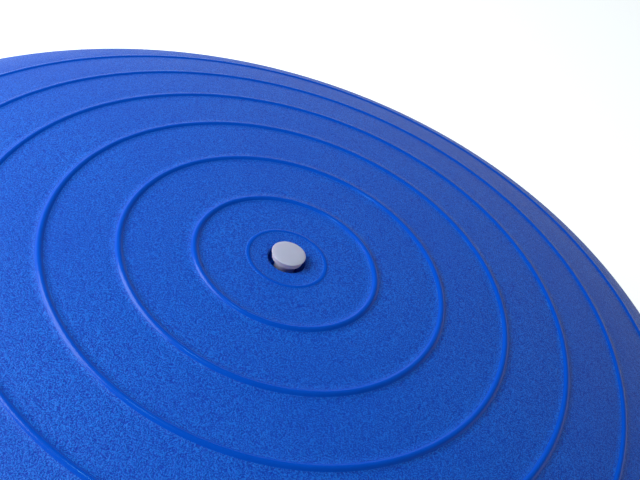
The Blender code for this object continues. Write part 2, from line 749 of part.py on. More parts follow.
def main():
    clear_scene()
    collection(PARTS)
    collection(CUTTERS)

    blue_pvc = material("blue_pvc", (0.02, 0.12, 0.58), 0.55)
    white_plug = material("white_plug", (0.80, 0.78, 0.82), 0.35)
    grey_shell = material("grey_shell", (0.10, 0.105, 0.115), 0.5)
    black_shell = material("black_shell", (0.02, 0.02, 0.022), 0.5)
    black_rubber = material("black_rubber", (0.015, 0.015, 0.015), 0.8)
    soft_grip = material("soft_grip", (0.02, 0.02, 0.022), 0.75)
    zinc_steel = material("zinc_steel", (0.62, 0.62, 0.64), 0.3, 1.0)
    chrome_wire = material("chrome_wire", (0.75, 0.75, 0.77), 0.15, 1.0)

    # The clamp ring and the platform come last: every piece converted after them would evaluate them again.
    make_bladder(blue_pvc)
    make_valve_seat(blue_pvc)
    make_valve_plug(white_plug)
    make_feet(black_rubber)
    make_clamp_screws(zinc_steel)
    make_anchor_screws(zinc_steel)
    make_anchor("right", 0, zinc_steel, chrome_wire)
    make_anchor("left", math.pi, zinc_steel, chrome_wire)
    make_grip_cup("grip_cup_rear", 0, soft_grip)
    make_grip_cup("grip_cup_front", math.pi, soft_grip)
    make_clamp_ring(grey_shell)
    make_platform(black_shell)


main()
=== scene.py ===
"""The finished look of the balance dome trainer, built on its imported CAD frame.

The close view is aimed at the crown of the dome, so the dome, the valve and the plug carry the finest
detail. Everything is in metres, in the row frame: origin on the floor under the dome's axis, +Z up.
"""

import math

import bmesh
import bpy
from mathutils import Matrix, Vector


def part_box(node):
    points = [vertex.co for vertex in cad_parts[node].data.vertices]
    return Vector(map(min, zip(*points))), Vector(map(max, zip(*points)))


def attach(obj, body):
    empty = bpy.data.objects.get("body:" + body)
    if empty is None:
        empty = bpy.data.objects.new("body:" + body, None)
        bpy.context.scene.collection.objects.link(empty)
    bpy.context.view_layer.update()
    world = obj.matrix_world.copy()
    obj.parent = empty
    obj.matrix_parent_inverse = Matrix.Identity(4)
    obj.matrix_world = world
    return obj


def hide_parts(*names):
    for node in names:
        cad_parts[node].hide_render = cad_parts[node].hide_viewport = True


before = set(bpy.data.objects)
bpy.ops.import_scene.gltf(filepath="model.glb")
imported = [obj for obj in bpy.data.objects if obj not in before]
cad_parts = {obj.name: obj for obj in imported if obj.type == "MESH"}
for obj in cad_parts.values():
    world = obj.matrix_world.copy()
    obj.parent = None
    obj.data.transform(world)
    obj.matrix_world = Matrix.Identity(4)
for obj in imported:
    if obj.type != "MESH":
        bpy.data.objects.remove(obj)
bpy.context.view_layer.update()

# ---------------------------------------------------------------- sizes shared with the CAD, in metres
UNDERSIDE = 0.003
PLATFORM_RADIUS = 0.290
OUTER_WALL_INSIDE = 0.286
RIM_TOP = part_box("base_platform")[1].z
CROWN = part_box("valve_seat")[1].z
CLAMP_LOW, CLAMP_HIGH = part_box("clamp_ring")
DOME_BULGE = 0.005
DOME_RISE = 0.111
DOME_SQUARENESS = 2.3
DOME_WIDEST = CROWN - DOME_RISE
CLAMP_LIP_INSIDE = 0.2585
DOME_FOOT_RADIUS = CLAMP_LIP_INSIDE - 0.0006
DOME_RADIUS = DOME_FOOT_RADIUS + DOME_BULGE
DOME_TUCK = 0.004
BEAD_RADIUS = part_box("dome_bladder")[1].x
BEAD_TOP = RIM_TOP + 0.0033
BEAD_THICKNESS = 0.003
RIB_FIRST = 0.0391
RIB_PITCH = 0.0305
RIB_WIDTH = 0.0032
RIB_HEIGHT = 0.0008
RIB_COUNT = 6
STEP_ON_RIB = 0.00027
STEP_BETWEEN_RIBS = 0.0025
LEAN = 0.008
LEAN_INWARD = 0.8
LEAN_DOWN = 0.6
LEAN_TOWARDS = math.radians(-5)
FLANGE_RADIUS = 0.018
FLANGE_RIDGE = 0.00022
FLANGE_OVERLAP = 0.0004
SEAT_DEPTH = 0.026
SEAT_RADIUS = 0.0095
SEAT_END_RADIUS = 0.008
MOUTH_RADIUS = 0.0082
MOUTH_DEPTH = 0.006
BORE_RADIUS = 0.0053
HEAD_RADIUS = 0.00735
HEAD_THICKNESS = 0.0012
COLLAR_RADIUS = 0.0066
COLLAR_HEIGHT = 0.0023
STEM_RADIUS = BORE_RADIUS - 0.0003
STEM_LENGTH = 0.019
BARB = 0.0005
BARB_COUNT = 3
BARB_PITCH = 0.0047
PLUG_SEAT = CROWN - MOUTH_DEPTH
FIT = 0.0003
FOOT_COUNT = 8
FOOT_CIRCLE = 0.238
FOOT_RADIUS = 0.018
FOOT_TOP = 0.007
SCREW_COUNT = 12
BOSS_RADIUS = 0.0057
BOSS_BITE = 0.0002
SCREW_CIRCLE = OUTER_WALL_INSIDE - BOSS_RADIUS + BOSS_BITE
SCREW_BORE_RADIUS = 0.0048
SCREW_BORE_TOP = 0.0080
GRIP_CIRCLE = 0.241
GRIP_SWEEP = 10.5
GRIP_HALF_WIDTH = 0.015
GRIP_LIP_HALF_WIDTH = 0.018
GRIP_LIP_HEIGHT = 0.0015
GRIP_WALL = 0.0025
RECESS_FLOOR = 0.280
RECESS_HALF_WIDTH = 0.022
HINGE_X = 0.28495
HINGE_Z = 0.027
RING_WIRE = 0.00225
RING_HALF_WIDTH = 0.014
RING_CORNER = 0.004
RING_LEG = 0.004

# ---------------------------------------------------------------- camera
LENS = 54.5
CAMERA_ELEVATION = math.radians(40.58)
CAMERA_DISTANCE = 0.4058
CAMERA_ROLL = math.radians(20.89)
AIM = Vector((0.0107, 0.0186, CROWN))

# ---------------------------------------------------------------- floor, lights and cutters
FLOOR_HALF = 40.0
LIGHT_AIM = (0, 0, 0.15)
# Cutters start below the object and, where they go right through, end above the platform.
CUT_LOW = -0.01
CUT_HIGH = 0.05


# ---------------------------------------------------------------- mesh helpers
def keep(obj, body, slot, *nodes):
    """Puts a finished piece on its body, in place of its CAD nodes."""
    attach(obj, body)
    if nodes:
        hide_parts(*nodes)
    return obj


def link(name, mesh, mats):
    obj = bpy.data.objects.new(name, mesh)
    bpy.context.scene.collection.objects.link(obj)
    for mat in mats:
        mesh.materials.append(mat)
    return obj


def smooth(mesh, degrees=35):
    mesh.shade_smooth()
    mesh.set_sharp_from_angle(angle=math.radians(degrees))


def revolve(name, outline, mats, steps=256, closed=True, second=None, degrees=35):
    """A body of revolution about Z. second(r, z) says which rings of faces take the second material."""
    work = bmesh.new()
    rings = []
    for r, z in outline:
        if r < 1e-7:
            rings.append([work.verts.new((0, 0, z))])
            continue
        turns = [math.tau * i / steps for i in range(steps)]
        rings.append([work.verts.new((r * math.cos(t), r * math.sin(t), z)) for t in turns])
    pairs = list(zip(range(len(rings)), range(1, len(rings))))
    if closed:
        pairs.append((len(rings) - 1, 0))
    for a, b in pairs:
        upper, lower = rings[a], rings[b]
        if len(upper) == len(lower) == 1:
            continue
        middle = [(outline[a][k] + outline[b][k]) / 2 for k in (0, 1)]
        kind = 1 if second and second(*middle) else 0
        for i in range(steps):
            j = (i + 1) % steps
            if len(upper) == 1:
                corners = (upper[0], lower[i], lower[j])
            elif len(lower) == 1:
                corners = (upper[i], lower[0], upper[j])
            else:
                corners = (upper[i], lower[i], lower[j], upper[j])
            work.faces.new(corners).material_index = kind
    bmesh.ops.recalc_face_normals(work, faces=work.faces)
    mesh = bpy.data.meshes.new(name)
    work.to_mesh(mesh)
    work.free()
    smooth(mesh, degrees)
    return link(name, mesh, mats)


def arc(centre, radius, start, end, steps):
    """Points from one angle to another, ends included, in degrees."""
    angles = [math.radians(start + (end - start) * i / steps) for i in range(steps + 1)]
    return [(centre[0] + radius * math.cos(a), centre[1] + radius * math.sin(a)) for a in angles]


def rounded(points, radius, steps=4):
    """The outline with each inner corner of an open chain of points rounded by up to this radius."""
    made = [points[0]]
    for before, here, after in zip(points, points[1:], points[2:]):
        p = Vector(here)
        a, b = Vector(before) - p, Vector(after) - p
        if a.length < 1e-9 or b.length < 1e-9:
            continue
        reach = min(radius, a.length * 0.49, b.length * 0.49)
        start, end = p + a.normalized() * reach, p + b.normalized() * reach
        for i in range(steps + 1):
            t = i / steps
            q = start * (1 - t) ** 2 + p * 2 * t * (1 - t) + end * t * t
            made.append((q.x, q.y))
    made.append(points[-1])
    return made


def slab(name, outline, bottom, top, mats=()):
    """A prism over a flat outline, between two heights."""
    work = bmesh.new()
    low = [work.verts.new((x, y, bottom)) for x, y in outline]
    high = [work.verts.new((x, y, top)) for x, y in outline]
    count = len(outline)
    for i in range(count):
        j = (i + 1) % count
        work.faces.new((low[i], low[j], high[j], high[i]))
    work.faces.new(high)
    work.faces.new(low[::-1])
    bmesh.ops.recalc_face_normals(work, faces=work.faces)
    mesh = bpy.data.meshes.new(name)
    work.to_mesh(mesh)
    work.free()
    return link(name, mesh, mats)


def turn(obj, angle):
    obj.data.transform(Matrix.Rotation(angle, 4, "Z"))
    return obj


def shift(obj, x, y, z=0.0):
    obj.data.transform(Matrix.Translation((x, y, z)))
    return obj


def circle(radius, steps=48, first=0.0):
    """Evenly spaced points on a circle about the axis. first is where they start, in steps from +X."""
    turns = [math.tau * (i + first) / steps for i in range(steps)]
    return [(radius * math.cos(t), radius * math.sin(t)) for t in turns]


def groove(centre, face, half_width, floor_half_width, depth):
    """Outline points of a ring groove cut up into an underside."""
    return [
        (centre - half_width, face),
        (centre - floor_half_width, face + depth),
        (centre + floor_half_width, face + depth),
        (centre + half_width, face),
    ]


def cut(obj, cutters, edge=0.0):
    """Takes the cutters out of obj for good, and softens the new edges."""
    group = bpy.data.collections.new(f"{obj.name}_cutters")
    for cutter in cutters:
        group.objects.link(cutter)
    modifier = obj.modifiers.new("Cut", "BOOLEAN")
    modifier.operation = "DIFFERENCE"
    modifier.solver = "EXACT"
    modifier.operand_type = "COLLECTION"
    modifier.collection = group
    bpy.context.view_layer.update()
    graph = bpy.context.evaluated_depsgraph_get()
    mesh = bpy.data.meshes.new_from_object(obj.evaluated_get(graph))
    obj.modifiers.clear()
    old = obj.data
    obj.data = mesh
    bpy.data.meshes.remove(old)
    mesh.name = obj.name
    smooth(mesh)
    for cutter in cutters:
        bpy.data.objects.remove(cutter)
    bpy.data.collections.remove(group)
    if edge:
        soften(obj, edge)
    return obj


def soften(obj, width, segments=2):
    bevel = obj.modifiers.new("Soft edges", "BEVEL")
    bevel.width = width
    bevel.segments = segments
    bevel.limit_method = "ANGLE"
    bevel.angle_limit = math.radians(40)
    bevel.harden_normals = True
    return obj


# ---------------------------------------------------------------- material helpers
class Look:
    """A Principled material with procedural inputs in row-frame metres."""

    def __init__(self, name, roughness, metallic=0.0, **uniform):
        self.mat = bpy.data.materials.new(name)
        self.mat.use_nodes = True
        self.nodes = self.mat.node_tree.nodes
        self.links = self.mat.node_tree.links
        self.shader = self.nodes["Principled BSDF"]
        self.shader.inputs["Roughness"].default_value = roughness
        self.shader.inputs["Metallic"].default_value = metallic
        for socket, value in uniform.items():
            self.shader.inputs[socket.replace("_", " ")].default_value = value
        self.coords = self.nodes.new("ShaderNodeTexCoord").outputs["Object"]
        self.normal = None

    def stretched(self, scale):
        mapping = self.nodes.new("ShaderNodeMapping")
        mapping.inputs["Scale"].default_value = scale
        self.links.new(self.coords, mapping.inputs["Vector"])
        return mapping.outputs["Vector"]

    def noise(self, scale, detail=3.0, rough=0.5, coords=None):
        node = self.nodes.new("ShaderNodeTexNoise")
        node.inputs["Scale"].default_value = scale
        node.inputs["Detail"].default_value = detail
        node.inputs["Roughness"].default_value = rough
        self.links.new(coords or self.coords, node.inputs["Vector"])
        return node.outputs["Fac"]

    def cells(self, scale):
        node = self.nodes.new("ShaderNodeTexVoronoi")
        node.inputs["Scale"].default_value = scale
        self.links.new(self.coords, node.inputs["Vector"])
        return node.outputs["Distance"]

    def spread(self, value, low, high, to_low=0.0, to_high=1.0):
        node = self.nodes.new("ShaderNodeMapRange")
        self.links.new(value, node.inputs["Value"])
        for name, number in (("From Min", low), ("From Max", high), ("To Min", to_low), ("To Max", to_high)):
            node.inputs[name].default_value = number
        return node.outputs["Result"]

    def add(self, a, b):
        node = self.nodes.new("ShaderNodeMath")
        node.operation = "ADD"
        self.links.new(a, node.inputs[0])
        self.links.new(b, node.inputs[1])
        return node.outputs[0]

    def blend(self, share, a, b):
        """A colour between two, each a colour or another node's output."""
        node = self.nodes.new("ShaderNodeMix")
        node.data_type = "RGBA"
        self.links.new(share, node.inputs["Factor"])
        for socket, colour in ((node.inputs[6], a), (node.inputs[7], b)):
            if isinstance(colour, tuple):
                socket.default_value = (*colour, 1.0)
            else:
                self.links.new(colour, socket)
        return node.outputs[2]

    def colour(self, output):
        self.links.new(output, self.shader.inputs["Base Color"])

    def roughness(self, output):
        self.links.new(output, self.shader.inputs["Roughness"])

    def bump(self, height, distance, strength=1.0):
        node = self.nodes.new("ShaderNodeBump")
        node.inputs["Distance"].default_value = distance
        node.inputs["Strength"].default_value = strength
        self.links.new(height, node.inputs["Height"])
        if self.normal:
            self.links.new(self.normal, node.inputs["Normal"])
        self.normal = node.outputs["Normal"]
        self.links.new(self.normal, self.shader.inputs["Normal"])


def sandy_pvc():
    """Burst-resistant PVC with a fine sandy grain: pale specks on a deep blue, in soft clumps."""
    look = Look("sandy_blue_pvc", 0.5, Specular_IOR_Level=0.20, Sheen_Weight=0.07, Sheen_Roughness=0.20)
    look.shader.inputs["Sheen Tint"].default_value = (0.88, 0.84, 0.92, 1.0)
    fine = look.noise(1800, 2.0, 0.6)
    clumps = look.noise(430, 2.0)
    specks = look.spread(fine, 0.42, 0.60)
    base = look.blend(specks, (0.0001, 0.029, 0.36), (0.0100, 0.160, 0.69))
    base = look.blend(look.spread(clumps, 0.40, 0.75, 0.0, 0.35), base, (0.0040, 0.108, 0.60))
    broad = look.spread(look.noise(16, 3.0), 0.35, 0.7, 0.0, 0.35)
    look.colour(look.blend(broad, base, (0.0008, 0.064, 0.47)))
    look.roughness(look.spread(fine, 0.3, 0.7, 0.62, 0.46))
    look.bump(look.add(fine, clumps), 0.00030, 1.0)
    return look.mat


def smooth_pvc():
    """The same skin where the mould is polished: deeper in colour, with a soft glint."""
    look = Look("smooth_blue_pvc", 0.2, Specular_IOR_Level=0.13)
    look.colour(look.blend(look.noise(60, 3.0), (0.0006, 0.064, 0.465), (0.0010, 0.075, 0.515)))
    look.roughness(look.spread(look.noise(240, 3.0), 0.3, 0.7, 0.17, 0.23))
    look.bump(look.noise(700, 2.0), 0.00008, 0.6)
    return look.mat


def soft_white():
    look = Look("white_plug_pvc", 0.38, Specular_IOR_Level=0.4, Subsurface_Weight=0.2, Subsurface_Scale=0.002)
    look.colour(look.blend(look.noise(160, 3.0), (0.47, 0.42, 0.54), (0.52, 0.47, 0.59)))
    look.roughness(look.spread(look.noise(900, 3.0), 0.3, 0.7, 0.3, 0.46))
    look.bump(look.noise(1500, 2.0), 0.00005, 0.4)
    return look.mat


def moulded(name, dark, light, roughness):
    """Moulded plastic with a fine spark-eroded grain, faint flow marks and a few rubbed patches."""
    look = Look(name, roughness, Specular_IOR_Level=0.5)
    flow = look.noise(9, 4.0, 0.6)
    scratches = look.noise(26, 5.0, 0.75, look.stretched((1.0, 9.0, 3.0)))
    rubbed = look.spread(scratches, 0.60, 0.72)
    base = look.blend(look.spread(flow, 0.3, 0.7), dark, light)
    worn = tuple(min(1.0, c * 1.6 + 0.012) for c in light)
    look.colour(look.blend(rubbed, base, worn))
    look.roughness(look.spread(scratches, 0.45, 0.75, roughness + 0.08, roughness - 0.12))
    look.bump(look.cells(1100), 0.00010, 0.7)
    look.bump(scratches, 0.00008, 0.35)
    return look.mat


def rubber(name, colour, grain=900):
    look = Look(name, 0.78, Specular_IOR_Level=0.35, Sheen_Weight=0.08)
    dusty = tuple(c * 1.9 + 0.012 for c in colour)
    look.colour(look.blend(look.spread(look.noise(70, 5.0, 0.7), 0.45, 0.8), colour, dusty))
    look.roughness(look.spread(look.noise(240, 3.0), 0.3, 0.7, 0.68, 0.86))
    look.bump(look.noise(grain, 3.0, 0.6), 0.00018, 0.8)
    return look.mat


def steel(name, tint, roughness, stretch):
    look = Look(name, roughness, 1.0)
    lines = look.noise(900, 3.0, 0.6, look.stretched(stretch))
    look.colour(look.blend(look.noise(120, 4.0), tint, tuple(c * 0.86 for c in tint)))
    look.roughness(look.spread(lines, 0.3, 0.7, roughness - 0.06, roughness + 0.10))
    look.bump(lines, 0.00003, 0.5)
    return look.mat


# ---------------------------------------------------------------- dome and valve
def dome_curve(steps=4000):
    """Points of the inflated surface from the axis to the widest part, each with the way along it."""
    found = []
    travelled = 0.0
    for i in range(steps + 1):
        angle = math.pi / 2 * i / steps
        r = DOME_RADIUS * math.sin(angle) ** (2 / DOME_SQUARENESS)
        z = DOME_WIDEST + DOME_RISE * max(math.cos(angle), 0.0) ** (2 / DOME_SQUARENESS)
        point = Vector((r, z))
        if found:
            travelled += (point - found[-1][1]).length
        found.append((travelled, point))
    return found


def rib_height(way):
    """How far the surface stands proud this far along it: each rib is a low, rounded bead."""
    nearest = round((way - RIB_FIRST) / RIB_PITCH)
    if not 0 <= nearest < RIB_COUNT:
        return 0.0
    off = abs(way - RIB_FIRST - nearest * RIB_PITCH) / (RIB_WIDTH / 2)
    if off >= 1:
        return 0.0
    return RIB_HEIGHT * (1 - off * off)


def spaced(start, end, most):
    """Even steps from start, left out, to end, each at most this long."""
    count = math.ceil((end - start) / most)
    return [start + (end - start) * i / count for i in range(1, count + 1)]


def dome_ways(full):
    """Stations along the surface: coarse between the ribs, fine on each rib, with its edges exact."""
    ways = [FLANGE_RADIUS - FLANGE_OVERLAP]
    for i in range(RIB_COUNT):
        centre = RIB_FIRST + RIB_PITCH * i
        near, far = centre - RIB_WIDTH / 2, centre + RIB_WIDTH / 2
        ways += spaced(ways[-1], near, STEP_BETWEEN_RIBS)
        ways += spaced(near, far, STEP_ON_RIB)
    return ways + spaced(ways[-1], full, STEP_BETWEEN_RIBS)


def dome_outline():
    """The surface from the valve flange to the clamp, and round the clamped bead underneath."""
    curve = dome_curve()
    outline = []
    index = 1
    for way in dome_ways(curve[-1][0]):
        while index < len(curve) - 1 and curve[index][0] < way:
            index += 1
        (s0, p0), (s1, p1) = curve[index - 1], curve[index]
        along = (p1 - p0).normalized()
        outward = Vector((-along.y, along.x))
        point = p0.lerp(p1, (way - s0) / (s1 - s0)) + outward * rib_height(way)
        outline.append((point.x, point.y))
    height = DOME_WIDEST - CLAMP_HIGH.z + DOME_TUCK
    side_steps = 24
    for i in range(1, side_steps + 1):
        share = i / side_steps
        outline.append((DOME_RADIUS - DOME_BULGE * share * share, DOME_WIDEST - height * share))
    well_radius, well_floor, skin_underside = FLANGE_RADIUS * 0.55, CROWN - 0.007, CROWN - 0.0022
    return outline + [
        (DOME_FOOT_RADIUS, BEAD_TOP),
        (BEAD_RADIUS, BEAD_TOP),
        (BEAD_RADIUS, BEAD_TOP - BEAD_THICKNESS),
        (0, BEAD_TOP - BEAD_THICKNESS),
        (0, well_floor),
        (well_radius, well_floor),
        (well_radius, skin_underside),
        (FLANGE_RADIUS - FLANGE_OVERLAP, skin_underside),
    ]


def rib_bands():
    """Each rib's distance from the axis, and half its width measured from the axis."""
    curve = dome_curve()
    bands = []
    for i in range(RIB_COUNT):
        edges = [RIB_FIRST + RIB_PITCH * i + side * RIB_WIDTH / 2 for side in (-1, 1)]
        near, far = [next(p.x for s, p in curve if s >= way) for way in edges]
        bands.append(((near + far) / 2, (far - near) / 2))
    return bands


RIB_BANDS = rib_bands()


def on_rib(r):
    """Whether a ring of faces at this distance from the axis belongs to a rib."""
    return any(abs(r - centre) < half for centre, half in RIB_BANDS)


def eased(share):
    """A share from 0 to 1 with soft ends."""
    share = max(0.0, min(1.0, share))
    return share * share * (3 - 2 * share)


def lean(mesh):
    """Sets the filled dome a little lopsided: one shoulder, below the last rib, is drawn in and down."""
    rib_centre, rib_half = RIB_BANDS[-1]
    edge = rib_centre + rib_half
    near_edge = [v.co.z for v in mesh.vertices if abs(math.hypot(v.co.x, v.co.y) - edge) < RIB_WIDTH]
    top = min(z for z in near_edge if z > DOME_WIDEST)
    bottom = CLAMP_HIGH.z
    for vertex in mesh.vertices:
        x, y, z = vertex.co
        r = math.hypot(x, y)
        if not bottom < z < top or r < edge:
            continue
        share = (top - z) / (top - bottom)
        facing = (1 + math.cos(math.atan2(y, x) - LEAN_TOWARDS)) / 2
        give = LEAN * facing * facing * eased(share / 0.18) * eased((1 - share) / 0.60)
        vertex.co.x *= 1 - give * LEAN_INWARD / r
        vertex.co.y *= 1 - give * LEAN_INWARD / r
        vertex.co.z -= give * LEAN_DOWN


def make_dome(grain, ribbed):
    """The inflated skin, polished on its ribs and grained between them."""
    dome = revolve(
        "dome",
        dome_outline(),
        [grain, ribbed],
        steps=256,
        second=lambda r, z: z > DOME_WIDEST and on_rib(r),
        degrees=50,
    )
    lean(dome.data)
    keep(dome, "base", "dome_pvc", "dome_bladder")
    return dome


def make_valve_flange(grain, ribbed):
    """The moulded seat: a low ridge round its edge, a gentle dish down to the hole and the long bore."""
    mouth_floor = CROWN - MOUTH_DEPTH - 0.0003
    ridge = FLANGE_RADIUS - 0.0012
    corners = [
        (BORE_RADIUS, CROWN - SEAT_DEPTH),
        (BORE_RADIUS, mouth_floor),
        (MOUTH_RADIUS - 0.0004, mouth_floor),
        (MOUTH_RADIUS - 0.0002, CROWN - 0.0012),
        (MOUTH_RADIUS + 0.0002, CROWN - 0.0005),
        (MOUTH_RADIUS + 0.0012, CROWN - 0.0003),
        (MOUTH_RADIUS + 0.0040, CROWN - 0.00005),
        (ridge - 0.0014, CROWN - 0.0001),
    ]
    low, high, steps = ridge - 0.0010, ridge + 0.0010, 8
    top = []
    for i in range(steps + 1):
        share = i / steps
        rise = FLANGE_RIDGE * math.sin(math.pi * share)
        top.append((low + (high - low) * share, CROWN + rise))
    outside = [
        (FLANGE_RADIUS + 0.0004, CROWN - 0.0002),
        (FLANGE_RADIUS - 0.0002, CROWN - 0.0016),
        (SEAT_RADIUS, CROWN - 0.0028),
        (SEAT_RADIUS, CROWN - SEAT_DEPTH / 2),
        (SEAT_END_RADIUS, CROWN - SEAT_DEPTH),
    ]
    flange = revolve(
        "valve_flange",
        rounded(corners, 0.0008, 3) + top + rounded(outside, 0.0004, 3),
        [grain, ribbed],
        steps=128,
        second=lambda r, z: abs(r - ridge) < 0.0007 or z < CROWN - 0.0013,
        degrees=60,
    )
    return keep(flange, "base", "dome_pvc", "valve_seat")


def make_plug(white):
    """A thin, slightly domed disc head, a smaller collar under it, a waist and a barbed stem."""
    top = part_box("valve_plug")[1].z
    head = top - HEAD_THICKNESS
    waist = STEM_RADIUS - BARB
    chain = [
        (0, top),
        (HEAD_RADIUS * 0.45, top - 0.00006),
        (HEAD_RADIUS * 0.80, top - 0.00022),
        (HEAD_RADIUS - 0.00015, top - 0.00045),
        (HEAD_RADIUS, top - 0.00070),
        (HEAD_RADIUS - 0.00025, head),
        (COLLAR_RADIUS, head),
        (COLLAR_RADIUS, head - COLLAR_HEIGHT),
        (waist, head - COLLAR_HEIGHT - 0.0003),
    ]
    for i in range(BARB_COUNT):
        z = PLUG_SEAT - 0.0024 - BARB_PITCH * i
        r = STEM_RADIUS - 0.0002 * i
        chain += [(r - BARB, z), (r, z - 0.001), (r - BARB, z - 0.0025)]
    tip = PLUG_SEAT - STEM_LENGTH
    chain += [(STEM_RADIUS - 0.0011, tip + 0.001), (STEM_RADIUS - 0.0019, tip), (0, tip)]
    plug = revolve("plug", rounded(chain, 0.0004, 4), [white], steps=96, closed=False, degrees=60)
    return keep(plug, "plug", "plug", "valve_plug")


# ---------------------------------------------------------------- platform
def grip_outline(half_width, steps=16):
    """A slot bent round the axis, with round ends, centred on the +Y axis."""
    start, end = 90 - GRIP_SWEEP, 90 + GRIP_SWEEP
    right, left = arc((0, 0), GRIP_CIRCLE, start, end, 1)
    outer = arc((0, 0), GRIP_CIRCLE + half_width, start, end, steps)
    inner = arc((0, 0), GRIP_CIRCLE - half_width, end, start, steps)
    left_end = arc(left, half_width, end, end + 180, steps)
    right_end = arc(right, half_width, start + 180, start + 360, steps)
    return outer + left_end[1:-1] + inner + right_end[1:-1]


def platform_outline():
    """A flat standing face with two ring grooves, a rounded foot edge, parting lines and the channel."""
    edge = 0.008
    hub_floor, channel_floor, tray_floor = UNDERSIDE + 0.0006, UNDERSIDE + 0.006, UNDERSIDE + 0.008
    chain = [(0, hub_floor), (0.0555, hub_floor), (0.0565, UNDERSIDE)]
    for ring in (0.130, 0.196):
        chain += groove(ring, UNDERSIDE, 0.0016, 0.0009, 0.0007)
    chain += arc((PLATFORM_RADIUS - edge, UNDERSIDE + edge), edge, -90, 0, 12)
    for z in (0.0190, 0.0345):
        chain += [
            (PLATFORM_RADIUS, z - 0.0007),
            (PLATFORM_RADIUS - 0.0007, z - 0.0002),
            (PLATFORM_RADIUS - 0.0007, z + 0.0002),
            (PLATFORM_RADIUS, z + 0.0007),
        ]
    return chain + [
        (PLATFORM_RADIUS, RIM_TOP - 0.0005),
        (PLATFORM_RADIUS - 0.0005, RIM_TOP),
        (OUTER_WALL_INSIDE, RIM_TOP),
        (OUTER_WALL_INSIDE - 0.0005, channel_floor),
        (0.2665, channel_floor),
        (0.266, RIM_TOP),
        (0.262, RIM_TOP),
        (0.262, tray_floor),
        (0, tray_floor),
    ]


def make_platform(shell):
    """The tray, with its hand slots, D-ring recesses, foot pockets and screw bores cut out."""
    platform = revolve("platform", platform_outline(), [shell], steps=256)
    slot, lip = grip_outline(GRIP_HALF_WIDTH + FIT), grip_outline(GRIP_LIP_HALF_WIDTH + FIT)
    middle, past_rim, half = (RECESS_FLOOR, 0), PLATFORM_RADIUS + 0.040, RECESS_HALF_WIDTH
    corners = [(RECESS_FLOOR, -half), (past_rim, -half), (past_rim, half), (RECESS_FLOOR, half)]
    recess = rounded([middle, *corners, middle], 0.004, 6)[:-1]
    cutters = []
    for side in (0, math.pi):
        cutters.append(turn(slab("slot", slot, CUT_LOW, CUT_HIGH), side))
        cutters.append(turn(slab("lip", lip, CUT_LOW, UNDERSIDE + GRIP_LIP_HEIGHT + FIT), side))
        cutters.append(turn(slab("recess", recess, CUT_LOW, CUT_HIGH), side))
    for x, y in circle(FOOT_CIRCLE, FOOT_COUNT, 0.5):
        pocket = circle(FOOT_RADIUS + FIT)
        cutters.append(shift(slab("pocket", pocket, CUT_LOW, FOOT_TOP + FIT), x, y))
    for x, y in circle(SCREW_CIRCLE, SCREW_COUNT, 0.5):
        bore = circle(SCREW_BORE_RADIUS, 32)
        cutters.append(shift(slab("bore", bore, CUT_LOW, SCREW_BORE_TOP), x, y))
    cut(platform, cutters, 0.0004)
    return keep(platform, "base", "platform", "base_platform")


def make_anchor_pads(shell):
    """The wall behind each D-ring's recess, which the clip is screwed to."""
    inside, face, half = 0.275, RECESS_FLOOR - 0.0001, 0.026
    outline = [(inside, -half), (face, -half), (face, half), (inside, half)]
    for side, word in ((0, "right"), (math.pi, "left")):
        pad = slab(f"anchor_pad_{word}", outline, UNDERSIDE + 0.0005, RIM_TOP - 0.0005, [shell])
        keep(turn(pad, side), "base", "platform")


def make_clamp(shell):
    """The ring that holds the dome down: a rolled inner lip, a top land and a rounded outer edge."""
    low, high = CLAMP_LOW.z, CLAMP_HIGH.z
    lip, edge, bead_room = 0.004, 0.006, 0.0033
    chain = [
        (0.2725, low + bead_room),
        (CLAMP_LIP_INSIDE + 0.002, low + bead_room),
        (CLAMP_LIP_INSIDE, low + bead_room + 0.002),
    ]
    chain += arc((CLAMP_LIP_INSIDE + lip, high - lip), lip, 180, 90, 10)
    chain += [(0.2690, high), (0.2694, high - 0.0005), (0.2704, high - 0.0005), (0.2708, high)]
    chain += arc((PLATFORM_RADIUS - edge, high - edge), edge, 90, 0, 12)
    chain += [
        (PLATFORM_RADIUS, low + 0.0005),
        (PLATFORM_RADIUS - 0.0005, low),
        (0.2745, low),
        (0.2745, low + bead_room),
    ]
    ring = revolve("clamp_trim_ring", chain, [shell], steps=256)
    return keep(ring, "base", "clamp", "clamp_ring")


def make_grips(grip):
    """Soft linings of the hand slots, each a cup with a lip on the underside."""
    cup_outline = grip_outline(GRIP_HALF_WIDTH, 24)
    lip_outline = grip_outline(GRIP_LIP_HALF_WIDTH, 24)
    inside_outline = grip_outline(GRIP_HALF_WIDTH - GRIP_WALL, 24)
    top = 0.036
    for side, word in ((0, "rear"), (math.pi, "front")):
        cup = slab(f"grip_{word}", cup_outline, UNDERSIDE + 0.0002, top, [grip])
        lip = slab("lip", lip_outline, UNDERSIDE, UNDERSIDE + GRIP_LIP_HEIGHT)
        inside = slab("inside", inside_outline, CUT_LOW, top - GRIP_WALL)
        union = cup.modifiers.new("Lip", "BOOLEAN")
        union.operation = "UNION"
        union.solver = "EXACT"
        union.object = lip
        cut(cup, [inside], 0.0006)
        bpy.data.objects.remove(lip)
        keep(turn(cup, side), "base", "grips", f"grip_cup_{word}")


